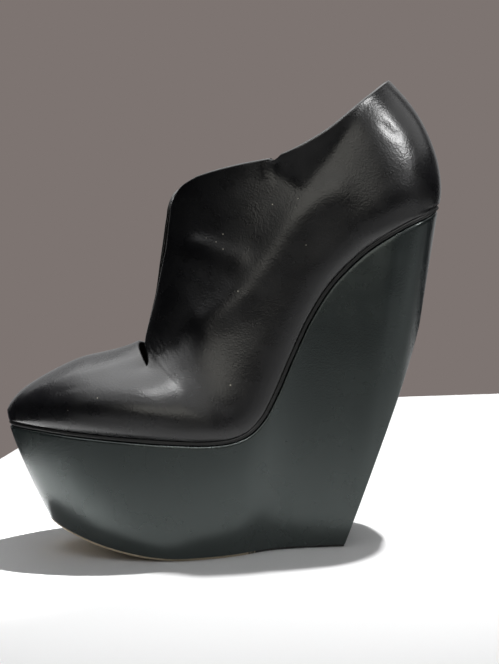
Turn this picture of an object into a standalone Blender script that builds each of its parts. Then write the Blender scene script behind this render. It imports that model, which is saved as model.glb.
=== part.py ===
"""Wedge shoe: a slit-front leather ankle shoe on a covered platform wedge.

Metres, +Z up. The toe points to -X, the heel to +X, and the shoe's inner side faces -Y.
The floor is z = 0 and the origin lies under the middle of the shoe.

The form comes from one table of stations along the foot. Each station gives a point of the
seat line (where upper and wedge meet) and the point of the front line that faces it, as shares
of the shoe's length, pitch and height, and its half widths as shares of half the ball width.
"""
import math
from collections import namedtuple

import bmesh
import bpy
import numpy as np
from mathutils import Vector

MM = 0.001

# Driving dimensions
LENGTH = 220.0 * MM
BALL_WIDTH = 82.0 * MM
PLATFORM_HEIGHT = 58.0 * MM
HEEL_HEIGHT = 166.1 * MM
BACK_HEIGHT = 228.0 * MM
UPPER_WALL = 1.8 * MM
RAND_THICKNESS = 2.2 * MM
INSOLE_THICKNESS = 2.5 * MM
SOLE_THICKNESS = 1.6 * MM
GAP = 0.3 * MM

# Toe spring of the sole: the forefoot leaves the floor at the roll line
TOE_SPRING = 16.5 * MM
TOE_SPRING_CURVE = 1.8
ROLL_LINE_X = -22.0 * MM

# The flat cut at the back of the wedge, from the floor up to the kink in its back
CUT_FLOOR_X = 56.2 * MM
CUT_KINK_X = 97.4 * MM
CUT_KINK_Z = 106.5 * MM

# The pale leather sole ends and the black top piece begins here
LIFT_BREAST_X = 12.5 * MM

# Edges, measured inwards from the upper's lower edge
RAND_INSET = 0.6 * MM
RAND_ROUND = 0.7 * MM
WEDGE_INSET = 0.4 * MM
WEDGE_HEEL_INSET = 1.8 * MM
WEDGE_EDGE_ROUND = 0.9 * MM
INSOLE_INSET = 3.9 * MM
SOLE_INSET = 1.2 * MM

# The front slit's rounded upper corners
SLIT_CORNER = 8.5 * MM
SLIT_CORNER_FIRST_STATION = 17.5

# How soon below the collar the sections stop following its edge: more is sooner
TOPLINE_BLEND = 1.3

# Mesh density
ROWS_PER_STATION = 2
ROWS_PER_BEND_STATION = 3
BEND_STATIONS = range(7, 13)
SIDE_COLUMNS = 12
VAMP_COLUMNS = 4
WALL_LEVELS = (0.10, 0.27, 0.46, 0.64, 0.82, 1.0)
WALL_TURN = 1.6

SHARP_ANGLE = math.radians(35)
MERGE_DISTANCE = 0.02 * MM

# How bluntly a section rounds from its seat or back to its widest place
BACK_ROUND = 3.0

# How far along the stations a slope is measured, and the least width left by an inset
SLOPE_REACH = 0.05
LEAST_WIDTH_SHARE = 0.5

Station = namedtuple("Station", "seat_along seat_rise front_along front_rise "
                                "seat_half swing girth ridge widest peak slit_in slit_out")
# seat: share of LENGTH from the toe, share of the pitch above the platform
# front: share of LENGTH from the toe, share of the height from platform to collar back
# seat_half, girth: half width at the seat and at the widest place, per half ball width
# swing, ridge: how far the seat's and the front line's middles lie to the inner side, likewise
# widest: where on the way from seat to front the section is widest
# peak: 1 is a round top, more is a sharper one
# slit_in, slit_out: half width of the front slit on either side of the front line, likewise
FOOT = [
    Station(0.006, 0.073, 0.000, 0.0800, 0.000, 0.120, 0.000, 0.120, 0.30, 1.00, 0.000, 0.000),
    Station(0.016, 0.076, 0.013, 0.1090, 0.180, 0.118, 0.193, 0.118, 0.30, 0.98, 0.115, 0.092),
    Station(0.047, 0.074, 0.043, 0.1460, 0.362, 0.112, 0.395, 0.112, 0.30, 0.95, 0.234, 0.188),
    Station(0.100, 0.066, 0.099, 0.1875, 0.545, 0.098, 0.592, 0.105, 0.29, 0.94, 0.351, 0.282),
    Station(0.173, 0.052, 0.167, 0.2255, 0.722, 0.073, 0.776, 0.095, 0.27, 0.95, 0.460, 0.370),
    Station(0.273, 0.033, 0.225, 0.2420, 0.868, 0.039, 0.927, 0.085, 0.25, 0.98, 0.549, 0.441),
    Station(0.377, 0.013, 0.267, 0.2545, 0.941, 0.007, 1.000, 0.073, 0.23, 1.01, 0.592, 0.476),
    Station(0.473, 0.000, 0.304, 0.2725, 0.930, -0.020, 0.988, 0.060, 0.22, 1.03, 0.585, 0.470),
    Station(0.535, 0.018, 0.312, 0.2950, 0.880, -0.039, 0.939, 0.050, 0.22, 1.04, 0.335, 0.250),
    Station(0.577, 0.082, 0.324, 0.3285, 0.820, -0.054, 0.880, 0.040, 0.22, 1.04, 0.220, 0.145),
    Station(0.610, 0.194, 0.334, 0.3650, 0.768, -0.059, 0.828, 0.032, 0.22, 1.03, 0.188, 0.112),
    Station(0.647, 0.354, 0.343, 0.4060, 0.720, -0.054, 0.788, 0.024, 0.22, 1.02, 0.190, 0.108),
    Station(0.689, 0.524, 0.349, 0.4470, 0.684, -0.044, 0.764, 0.018, 0.22, 1.01, 0.200, 0.108),
    Station(0.742, 0.680, 0.354, 0.4880, 0.660, -0.029, 0.750, 0.012, 0.22, 1.00, 0.211, 0.108),
    Station(0.814, 0.815, 0.360, 0.5320, 0.648, -0.015, 0.744, 0.006, 0.24, 0.98, 0.222, 0.108),
    Station(0.891, 0.908, 0.366, 0.5740, 0.624, -0.005, 0.744, 0.000, 0.30, 0.94, 0.227, 0.108),
    Station(0.959, 0.968, 0.371, 0.6080, 0.463, 0.000, 0.744, 0.000, 0.35, 0.90, 0.230, 0.108),
    Station(0.996, 1.000, 0.375, 0.6330, 0.000, 0.000, 0.741, 0.000, 0.368, 0.87, 0.230, 0.108),
]
SEAT_LINE = ("seat_along", "seat_rise")
FRONT_LINE = ("front_along", "front_rise")
HEEL = len(FOOT) - 1
THROAT = 7

Ankle = namedtuple("Ankle", "back_along back_rise front_along front_rise girth widest peak")
# The closed rings above the heel seat, from the seat's end up to the collar
ANKLE = [
    Ankle(0.999, 0.694, 0.378, 0.654, 0.738, 0.367, 0.85),
    Ankle(0.988, 0.780, 0.381, 0.669, 0.733, 0.364, 0.85),
    Ankle(0.962, 0.866, 0.384, 0.682, 0.727, 0.353, 0.85),
    Ankle(0.928, 0.936, 0.386, 0.693, 0.722, 0.339, 0.85),
    Ankle(0.888, 1.000, 0.388, 0.703, 0.717, 0.324, 0.85),
]
COLLAR = HEEL + len(ANKLE)

Dip = namedtuple("Dip", "share drop")
# The collar's edge, from its back to its front: share of the way, drop below the straight line
TOPLINE = [Dip(0.0, 0.0), Dip(0.16, 5.4 * MM), Dip(0.29, 10.2 * MM), Dip(0.42, 11.4 * MM),
           Dip(0.53, 10.4 * MM), Dip(0.68, 5.0 * MM), Dip(0.81, 1.4 * MM), Dip(0.92, 0.0),
           Dip(1.0, 0.0)]

Sole = namedtuple("Sole", "seat_along sole_along width_share")
# Where the wedge's wall lands on the sole, and how much narrower it is there
SOLE = [
    Sole(0.006, 0.082, 0.84),
    Sole(0.377, 0.382, 0.91),
    Sole(0.536, 0.523, 0.90),
    Sole(0.996, 0.864, 0.80),
]

# Finish of each piece: base colour, roughness
FINISH = {
    "upper": ((0.016, 0.014, 0.014), 0.34),
    "rand": ((0.012, 0.013, 0.012), 0.30),
    "wedge": ((0.022, 0.027, 0.025), 0.36),
    "outsole": ((0.42, 0.33, 0.22), 0.62),
    "heel_lift": ((0.013, 0.014, 0.014), 0.60),
    "insole": ((0.050, 0.042, 0.036), 0.55),
}


def spline(values, place, level_start=False, level_end=False):
    """A smooth curve through values at 0, 1, 2 ..., read at place, level at an end where asked."""
    first = min(int(place), len(values) - 2)
    share = place - first
    here, there = values[first], values[first + 1]
    leave = arrive = there - here
    if first > 0:
        leave = (there - values[first - 1]) / 2
    elif level_start:
        leave = 0.0
    if first + 2 < len(values):
        arrive = (values[first + 2] - here) / 2
    elif level_end:
        arrive = 0.0
    square, cube = share * share, share ** 3
    return ((2 * cube - 3 * square + 1) * here + (cube - 2 * square + share) * leave
            + (3 * square - 2 * cube) * there + (cube - square) * arrive)


def foot(column, station):
    """A column of the foot's table between its rows. The seat line slows down at both its ends."""
    slows = column in SEAT_LINE
    return spline([getattr(row, column) for row in FOOT], min(station, HEEL), slows, slows)


def foot_and_ankle(column, station):
    """A column that runs on from the foot's rows into the ankle's."""
    return spline([getattr(row, column) for row in FOOT + ANKLE], station, column in FRONT_LINE)


def back_of_heel(column, station):
    """A column of the ankle's rows, from the seat's end up to the collar."""
    return spline([getattr(row, column) for row in [HEEL_END] + ANKLE], station - HEEL, True)


def ahead(share):
    """X of a share of the shoe's length."""
    return (share - 0.5) * LENGTH


def seat_height(share):
    """Z of a share of the pitch."""
    return PLATFORM_HEIGHT + share * (HEEL_HEIGHT - PLATFORM_HEIGHT)


def upper_height(share):
    """Z of a share of the height between platform and collar back."""
    return PLATFORM_HEIGHT + share * (BACK_HEIGHT - PLATFORM_HEIGHT)


def half_width(share):
    """A width in metres from its share of half the ball width."""
    return share * BALL_WIDTH / 2


def seat_place(station):
    """The seat line's x and z."""
    return np.array([ahead(foot("seat_along", station)), seat_height(foot("seat_rise", station))])


def seat_tangent(station):
    """Unit direction of the seat line towards the heel."""
    before, after = max(station - SLOPE_REACH, 0), min(station + SLOPE_REACH, HEEL)
    run = seat_place(after) - seat_place(before)
    return run / np.linalg.norm(run)


def seat_edge(station, side, inset, rise):
    """A point of the seat's outline, moved inwards by inset and up from the seat line by rise.

    side is -1 on the inner side and 1 on the outer side.
    """
    before, after = max(station - SLOPE_REACH, 0), min(station + SLOPE_REACH, HEEL)
    widening = half_width(foot("seat_half", after) - foot("seat_half", before))
    advance = np.linalg.norm(seat_place(after) - seat_place(before))
    slant = math.hypot(widening, advance)
    tangent = seat_tangent(station)
    normal = np.array([-tangent[1], tangent[0]])
    half = half_width(foot("seat_half", station))
    shift = inset * widening / slant
    if station in (0, HEEL):
        shift = inset if station == 0 else -inset
    else:
        half -= inset * advance / slant
    x, z = seat_place(station) + shift * tangent + rise * normal
    return Vector((x, side * half - half_width(foot("swing", station)), z))


def wedge_edge(station, side, inset, rise):
    """A point of the wedge's top outline, which steps in further towards the heel."""
    return seat_edge(station, side, inset + WEDGE_HEEL_INSET * station / HEEL, rise)


def sole_bottom(x):
    """Height of the sole's underside: flat on the floor, then the toe spring."""
    toe_x = ahead(SOLE[0].sole_along)
    lift = max(0.0, (ROLL_LINE_X - x) / (ROLL_LINE_X - toe_x))
    return TOE_SPRING * lift ** TOE_SPRING_CURVE


def sole_edge(station, side, inset, rise):
    """A point of the sole's outline, moved inwards by inset and up from the underside by rise."""
    along = foot("seat_along", station)
    anchors = [row.seat_along for row in SOLE]
    x = ahead(np.interp(along, anchors, [row.sole_along for row in SOLE]))
    share = np.interp(along, anchors, [row.width_share for row in SOLE])
    half = half_width(foot("seat_half", station)) * share
    if station == 0:
        x += inset
    elif station == HEEL:
        x -= inset
    else:
        half = max(half - inset, half * LEAST_WIDTH_SHARE)
    y = side * half - half_width(foot("swing", station)) * share
    return Vector((x, y, sole_bottom(x) + rise))


def rows(first, last):
    """Places along the stations, closer together round the bend at the waist."""
    places = []
    for station in range(first, last):
        steps = ROWS_PER_BEND_STATION if station in BEND_STATIONS else ROWS_PER_STATION
        places += [station + step / steps for step in range(steps)]
    return places + [last]


def outline(edge, inset, rise):
    """A closed outline: along the inner side to the heel and back along the outer side."""
    places = rows(0, HEEL)
    inner = [edge(place, -1, inset, rise) for place in places]
    outer = [edge(place, 1, inset, rise) for place in places[1:-1]]
    return inner + outer[::-1]


def material(name):
    """A plain finish for a piece."""
    colour, roughness = FINISH[name]
    finish = bpy.data.materials.new(name)
    finish.use_nodes = True
    shader = finish.node_tree.nodes["Principled BSDF"]
    shader.inputs["Base Color"].default_value = (*colour, 1.0)
    shader.inputs["Roughness"].default_value = roughness
    shader.inputs["Metallic"].default_value = 0.0
    return finish


def add_piece(name, mesh_builder, collection, parent):
    """Makes a named object from a bmesh and gives it its finish."""
    mesh = bpy.data.meshes.new(name)
    mesh_builder.to_mesh(mesh)
    mesh_builder.free()
    mesh.shade_smooth()
    mesh.set_sharp_from_angle(angle=SHARP_ANGLE)
    mesh.materials.append(material(name))
    piece = bpy.data.objects.new(name, mesh)
    piece.parent = parent
    collection.objects.link(piece)
    return piece


def stacked_solid(outlines):
    """A closed solid through outlines from top to bottom, capped straight across its width."""
    solid = bmesh.new()
    levels = [[solid.verts.new(point) for point in points] for points in outlines]
    count = len(levels[0])
    for upper_level, lower_level in zip(levels, levels[1:]):
        for k in range(count):
            after = (k + 1) % count
            solid.faces.new((upper_level[k], lower_level[k], lower_level[after], upper_level[after]))
    cap(solid, levels[0])
    cap(solid, levels[-1])
    bmesh.ops.recalc_face_normals(solid, faces=solid.faces)
    return solid


def cap(solid, level):
    """Closes an outline with strips between the facing points of its two sides."""
    count = len(level)
    for k in range(count // 2):
        ring = [level[k], level[k + 1], level[-k - 1], level[-k % count]]
        corners = [corner for n, corner in enumerate(ring) if corner not in ring[:n]]
        solid.faces.new(corners)


def cut_flat(solid, point, outward):
    """Cuts away what lies on the outward side of a plane and closes the cut."""
    everything = solid.verts[:] + solid.edges[:] + solid.faces[:]
    cut = bmesh.ops.bisect_plane(solid, geom=everything, plane_co=point, plane_no=outward,
                                 clear_outer=True, dist=1e-7)
    rim = [item for item in cut["geom_cut"] if isinstance(item, bmesh.types.BMEdge)]
    bmesh.ops.contextual_create(solid, geom=rim)
    bmesh.ops.recalc_face_normals(solid, faces=solid.faces)


def cut_back(solid):
    """The flat cut that slants in from the kink in the wedge's back to the floor."""
    floor_point = Vector((CUT_FLOOR_X, 0, 0))
    rise = Vector((CUT_KINK_X, 0, CUT_KINK_Z)) - floor_point
    cut_flat(solid, floor_point, Vector((rise.z, 0, -rise.x)).normalized())


def section(station):
    """Where a section of the upper starts and ends, and its shape."""
    if station <= HEEL:
        tangent = seat_tangent(station)
        normal = np.array([-tangent[1], tangent[0]])
        start = seat_place(station) + (RAND_THICKNESS / 2 + GAP) * normal
        half = half_width(foot("seat_half", station))
    else:
        start = np.array([ahead(back_of_heel("back_along", station)),
                          upper_height(back_of_heel("back_rise", station))])
        half = 0.0
    end = np.array([ahead(foot_and_ankle("front_along", station)),
                    upper_height(foot_and_ankle("front_rise", station))])
    girth = half_width(foot_and_ankle("girth", station))
    return start, end, half, girth


def heel_end():
    """The row that joins the seat's end to the rings above it."""
    x, z = seat_place(HEEL) + np.array([0, RAND_THICKNESS / 2 + GAP])
    last = FOOT[HEEL]
    rise = (z - PLATFORM_HEIGHT) / (BACK_HEIGHT - PLATFORM_HEIGHT)
    return Ankle(x / LENGTH + 0.5, rise, last.front_along, last.front_rise,
                 last.girth, last.widest, last.peak)


HEEL_END = heel_end()


def topline_drop(share):
    """How far the collar's edge lies below the straight line from its back to its front."""
    return np.interp(share, [row.share for row in TOPLINE], [row.drop for row in TOPLINE])


def slit_half(station, side):
    """Half width of the front slit, wider where its upper corners are rounded."""
    half = half_width(foot("slit_in" if side < 0 else "slit_out", station))
    corner = (station - SLIT_CORNER_FIRST_STATION) / (COLLAR - SLIT_CORNER_FIRST_STATION)
    if corner > 0:
        half += SLIT_CORNER * (1 - math.sqrt(max(0.0, 1 - corner * corner)))
    return half


def upper_point(station, side, angle):
    """A point of the upper's outside: angle 0 is the seat, half a turn the front line."""
    start, end, half, girth = section(station)
    widest = foot_and_ankle("widest", station)
    peak = foot_and_ankle("peak", station)
    if angle <= math.pi / 2:
        share = widest * (1 - math.cos(angle))
        closing = 1 - (half / girth) ** 2 if girth > 0 else 0.0
        width = girth * math.sqrt(max(0.0, 1 - closing * math.cos(angle) ** BACK_ROUND))
    else:
        share = widest + (1 - widest) * math.sin(angle - math.pi / 2)
        width = girth * max(0.0, math.cos(angle - math.pi / 2)) ** peak
    x, z = start + share * (end - start)
    if station > HEEL:
        reach = (station - HEEL) / (COLLAR - HEEL)
        z -= topline_drop(share) * reach ** TOPLINE_BLEND
    middle = half_width((1 - share) * foot("swing", station) + share * foot("ridge", station))
    return Vector((x, side * width - middle, z))


def slit_angle(station, side):
    """The angle at which a section meets the slit's edge."""
    girth = section(station)[3]
    if girth <= 0:
        return math.pi / 2
    share = min(1.0, slit_half(station, side) / girth) ** (1 / foot_and_ankle("peak", station))
    return math.pi / 2 + math.acos(share)


def upper_columns(station, side):
    """The upper's points on one side of a section, from the seat up to the slit's edge."""
    edge = slit_angle(station, side)
    return [upper_point(station, side, edge * k / SIDE_COLUMNS) for k in range(SIDE_COLUMNS + 1)]


def vamp_columns(station, side):
    """The points above the slit's line, which the vamp has and the quarters lack."""
    edge = slit_angle(station, side)
    steps = [edge + (math.pi - edge) * k / VAMP_COLUMNS for k in range(1, VAMP_COLUMNS + 1)]
    return [upper_point(station, side, angle) for angle in steps]


def build_upper(collection, parent):
    """The upper: one open surface over the last, with a wall of its real thickness inside it."""
    skin = bmesh.new()
    grid = []
    for station in rows(0, COLLAR):
        inner = upper_columns(station, -1)
        outer = upper_columns(station, 1)
        if station <= THROAT:
            points = inner + vamp_columns(station, -1) + vamp_columns(station, 1)[-2::-1] + outer[::-1]
            grid.append([skin.verts.new(point) for point in points])
        else:
            grid.append([skin.verts.new(point) for point in inner + outer[::-1]])
    side_count = SIDE_COLUMNS + 1
    for before, after in zip(grid, grid[1:]):
        for k in range(len(before) - 1):
            if len(after) == len(before):
                skip = len(after) == 2 * side_count and k == SIDE_COLUMNS
                far, beyond = k, k + 1
            else:
                skip = SIDE_COLUMNS <= k < len(before) - side_count
                turn = 0 if k < SIDE_COLUMNS else len(before) - len(after)
                far, beyond = k - turn, k + 1 - turn
            if not skip:
                skin.faces.new((before[k], after[far], after[beyond], before[k + 1]))
    bmesh.ops.remove_doubles(skin, verts=skin.verts, dist=MERGE_DISTANCE)
    bmesh.ops.dissolve_degenerate(skin, edges=skin.edges, dist=MERGE_DISTANCE)
    upper = add_piece("upper", skin, collection, parent)
    wall = upper.modifiers.new("wall", "SOLIDIFY")
    wall.thickness = UPPER_WALL
    wall.offset = -1
    wall.use_even_offset = True
    return upper


def build_rand(collection, parent):
    """The rand: a thin plate on the seat line, with a rounded edge."""
    half = RAND_THICKNESS / 2
    levels = [(RAND_INSET + RAND_ROUND, half), (RAND_INSET, half / 2),
              (RAND_INSET, -half / 2), (RAND_INSET + RAND_ROUND, -half)]
    solid = stacked_solid([outline(seat_edge, inset, rise) for inset, rise in levels])
    return add_piece("rand", solid, collection, parent)


def build_insole(collection, parent):
    """The insole, which lies on the rand inside the upper."""
    bottom = RAND_THICKNESS / 2 + GAP
    levels = [bottom + INSOLE_THICKNESS, bottom]
    solid = stacked_solid([outline(seat_edge, INSOLE_INSET, rise) for rise in levels])
    return add_piece("insole", solid, collection, parent)


def wall_outline(top, bottom, level):
    """An outline of the wedge's wall, which turns in towards the sole."""
    points = []
    for high, low in zip(top, bottom):
        along = high.lerp(low, level)
        along.y = high.y + (low.y - high.y) * level ** WALL_TURN
        points.append(along)
    return points


def build_wedge(collection, parent):
    """The covered block: platform, waist and heel in one, with the flat cut at its back."""
    seat = -(RAND_THICKNESS / 2 + GAP)
    top = outline(wedge_edge, WEDGE_INSET, seat - WEDGE_EDGE_ROUND)
    edge = outline(wedge_edge, WEDGE_INSET + WEDGE_EDGE_ROUND, seat)
    bottom = outline(sole_edge, 0.0, SOLE_THICKNESS + GAP)
    solid = stacked_solid([edge, top] + [wall_outline(top, bottom, level) for level in WALL_LEVELS])
    cut_back(solid)
    return add_piece("wedge", solid, collection, parent)


def build_sole(collection, parent):
    """The leather sole under the forefoot and the black top piece under the heel."""
    levels = [outline(sole_edge, SOLE_INSET, rise) for rise in (SOLE_THICKNESS, 0.0)]
    outsole = stacked_solid(levels)
    cut_flat(outsole, Vector((LIFT_BREAST_X, 0, 0)), Vector((1, 0, 0)))
    lift = stacked_solid(levels)
    cut_flat(lift, Vector((LIFT_BREAST_X + GAP, 0, 0)), Vector((-1, 0, 0)))
    cut_back(lift)
    add_piece("outsole", outsole, collection, parent)
    add_piece("heel_lift", lift, collection, parent)


def main():
    """Clears the scene and builds the shoe's pieces under one empty."""
    for item in list(bpy.data.objects):
        bpy.data.objects.remove(item)
    collection = bpy.data.collections.new("wedge_shoe")
    bpy.context.scene.collection.children.link(collection)
    shoe = bpy.data.objects.new("shoe", None)
    collection.objects.link(shoe)
    build_upper(collection, shoe)
    build_rand(collection, shoe)
    build_insole(collection, shoe)
    build_wedge(collection, shoe)
    build_sole(collection, shoe)


main()
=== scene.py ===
"""Looks of a slit-front leather ankle shoe on a covered platform wedge.

Lengths are millimetres until a mesh is made, which is in metres. The toe points to -X and the
heel to +X, the inner side faces -Y, and the floor is z = 0.
"""

import logging
import math
from dataclasses import dataclass, field
from enum import Enum
from functools import partial
from typing import Callable, Optional, Sequence

import bpy
import numpy as np
from mathutils import Matrix, Vector
from mathutils.kdtree import KDTree


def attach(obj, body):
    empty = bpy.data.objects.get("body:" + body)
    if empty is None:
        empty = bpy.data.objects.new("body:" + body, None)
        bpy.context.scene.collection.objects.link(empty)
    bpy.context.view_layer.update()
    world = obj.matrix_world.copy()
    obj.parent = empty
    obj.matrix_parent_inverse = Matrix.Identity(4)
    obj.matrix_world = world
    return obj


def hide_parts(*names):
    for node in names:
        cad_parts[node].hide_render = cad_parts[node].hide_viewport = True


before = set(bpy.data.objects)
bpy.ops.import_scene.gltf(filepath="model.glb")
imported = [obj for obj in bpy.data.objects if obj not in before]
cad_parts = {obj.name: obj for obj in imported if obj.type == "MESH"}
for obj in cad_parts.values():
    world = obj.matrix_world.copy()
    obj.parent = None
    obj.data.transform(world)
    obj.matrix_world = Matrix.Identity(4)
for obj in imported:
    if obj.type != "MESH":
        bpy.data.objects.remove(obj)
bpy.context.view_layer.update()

LOG = logging.getLogger("wedge_shoe")
MM = 0.001
BODY = "root"
IMAGE_HEIGHT = 664
QUARTER_TURN = math.pi / 2
TINY = 1e-9
SHORTEST = 1e-12

Array = np.ndarray
Colour = tuple[float, float, float]
Place = tuple[float, float, float]
Span = tuple[float, float]
Edge = Callable[[Array], Array]
Piece = bpy.types.Object
Socket = bpy.types.NodeSocket


class Side(Enum):
    """The shoe's two sides. The value is the sign of y."""

    INNER = -1
    OUTER = 1


class Grain(Enum):
    """The surface of a material, by what makes its relief."""

    CALF = "pores"
    FLESH = "fibres"
    RUBBER = "crumbs"


class Light(Enum):
    """What a lamp lights. Sheen is its mirror image in gloss, and body is everything else."""

    SHEEN = "sheen"
    BODY = "body"


@dataclass(frozen=True)
class Station:
    """One section of the foot.

    The seat and the front line are given as shares of the shoe's length, pitch and height, and
    the half widths as shares of half the ball width.
    """

    seat_along: float
    seat_rise: float
    front_along: float
    front_rise: float
    seat_half: float
    swing: float
    girth: float
    ridge: float
    widest: float
    peak: float
    slit_in: float
    slit_out: float


@dataclass(frozen=True)
class Ring:
    """One closed ring above the heel seat."""

    back_along: float
    back_rise: float
    front_along: float
    front_rise: float
    girth: float
    widest: float
    peak: float


FOOT = (
    Station(0.006, 0.073, 0.000, 0.0800, 0.000, 0.120, 0.000, 0.120, 0.30, 1.00, 0.000, 0.000),
    Station(0.016, 0.076, 0.013, 0.1090, 0.180, 0.118, 0.193, 0.118, 0.30, 0.98, 0.115, 0.092),
    Station(0.047, 0.074, 0.043, 0.1460, 0.362, 0.112, 0.395, 0.112, 0.30, 0.95, 0.234, 0.188),
    Station(0.100, 0.066, 0.099, 0.1875, 0.545, 0.098, 0.592, 0.105, 0.29, 0.94, 0.351, 0.282),
    Station(0.173, 0.052, 0.167, 0.2255, 0.722, 0.073, 0.776, 0.095, 0.27, 0.95, 0.460, 0.370),
    Station(0.273, 0.033, 0.225, 0.2420, 0.868, 0.039, 0.927, 0.085, 0.25, 0.98, 0.549, 0.441),
    Station(0.377, 0.013, 0.267, 0.2545, 0.941, 0.007, 1.000, 0.073, 0.23, 1.01, 0.592, 0.476),
    Station(0.473, 0.000, 0.304, 0.2725, 0.930, -0.020, 0.988, 0.060, 0.22, 1.03, 0.585, 0.470),
    Station(0.535, 0.018, 0.312, 0.2950, 0.880, -0.039, 0.939, 0.050, 0.22, 1.04, 0.335, 0.250),
    Station(0.577, 0.082, 0.324, 0.3285, 0.820, -0.054, 0.880, 0.040, 0.22, 1.04, 0.220, 0.145),
    Station(0.610, 0.194, 0.334, 0.3650, 0.768, -0.059, 0.828, 0.032, 0.22, 1.03, 0.188, 0.112),
    Station(0.647, 0.354, 0.343, 0.4060, 0.720, -0.054, 0.788, 0.024, 0.22, 1.02, 0.190, 0.108),
    Station(0.689, 0.524, 0.349, 0.4470, 0.684, -0.044, 0.764, 0.018, 0.22, 1.01, 0.200, 0.108),
    Station(0.742, 0.680, 0.354, 0.4880, 0.660, -0.029, 0.750, 0.012, 0.22, 1.00, 0.211, 0.108),
    Station(0.814, 0.815, 0.360, 0.5320, 0.648, -0.015, 0.744, 0.006, 0.24, 0.98, 0.222, 0.108),
    Station(0.891, 0.908, 0.366, 0.5740, 0.624, -0.005, 0.744, 0.000, 0.30, 0.94, 0.227, 0.108),
    Station(0.959, 0.968, 0.371, 0.6080, 0.463, 0.000, 0.744, 0.000, 0.35, 0.90, 0.230, 0.108),
    Station(0.996, 1.000, 0.375, 0.6330, 0.000, 0.000, 0.741, 0.000, 0.368, 0.87, 0.230, 0.108),
)
ANKLE = (
    Ring(0.999, 0.694, 0.378, 0.654, 0.738, 0.367, 0.85),
    Ring(0.988, 0.780, 0.381, 0.669, 0.733, 0.364, 0.85),
    Ring(0.962, 0.866, 0.384, 0.682, 0.727, 0.353, 0.85),
    Ring(0.928, 0.936, 0.386, 0.693, 0.722, 0.339, 0.85),
    Ring(0.888, 1.000, 0.388, 0.703, 0.717, 0.324, 0.85),
)
HEEL = len(FOOT) - 1
COLLAR = HEEL + len(ANKLE)

# The collar's edge from its back to its front: share of the way, drop below the straight line
TOPLINE_SHARE = (0.0, 0.16, 0.29, 0.42, 0.53, 0.68, 0.81, 0.92, 1.0)
TOPLINE_DROP = (0.0, 5.4, 10.2, 11.4, 10.4, 5.0, 1.4, 0.0, 0.0)

# Where the wedge's wall lands on the sole, and how much narrower it is there
SOLE_SEAT_ALONG = (0.006, 0.377, 0.536, 0.996)
SOLE_ALONG = (0.082, 0.382, 0.523, 0.864)
SOLE_WIDTH_ALONG = (0.006, 0.34, 0.46, 0.56, 0.70, 0.996)
SOLE_WIDTH_SHARE = (0.84, 0.905, 0.895, 0.85, 0.83, 0.79)


def spline(values: Sequence[float], place: Array, level_start: bool = False,
           level_end: bool = False) -> Array:
    """A smooth curve through values at 0, 1, 2 and so on.

    Args:
        values: What the curve goes through.
        place: Where to read it.
        level_start: Whether it starts level.
        level_end: Whether it ends level.

    Returns:
        The curve at each place.
    """
    knots = np.asarray(values, float)
    slopes = np.gradient(knots)
    if level_start:
        slopes[0] = 0.0
    if level_end:
        slopes[-1] = 0.0
    place = np.asarray(place, float)
    first = np.clip(place.astype(int), 0, len(knots) - 2)
    share = place - first
    square, cube = share ** 2, share ** 3
    return ((2 * cube - 3 * square + 1) * knots[first] + (cube - 2 * square + share) * slopes[first]
            + (3 * square - 2 * cube) * knots[first + 1] + (cube - square) * slopes[first + 1])


def smooth_step(value: Array, low: float, high: float) -> Array:
    """Goes softly from 0 at low to 1 at high."""
    share = np.clip((np.asarray(value, float) - low) / (high - low), 0.0, 1.0)
    return share * share * (3 - 2 * share)


def unit(vectors: Array) -> Array:
    """The vectors at length one."""
    return vectors / np.maximum(np.linalg.norm(vectors, axis=-1, keepdims=True), SHORTEST)


def run_along(points: Array) -> Array:
    """The way along a line of points, from its first to each of them."""
    return np.r_[0.0, np.cumsum(np.linalg.norm(np.diff(points, axis=0), axis=1))]


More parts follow.
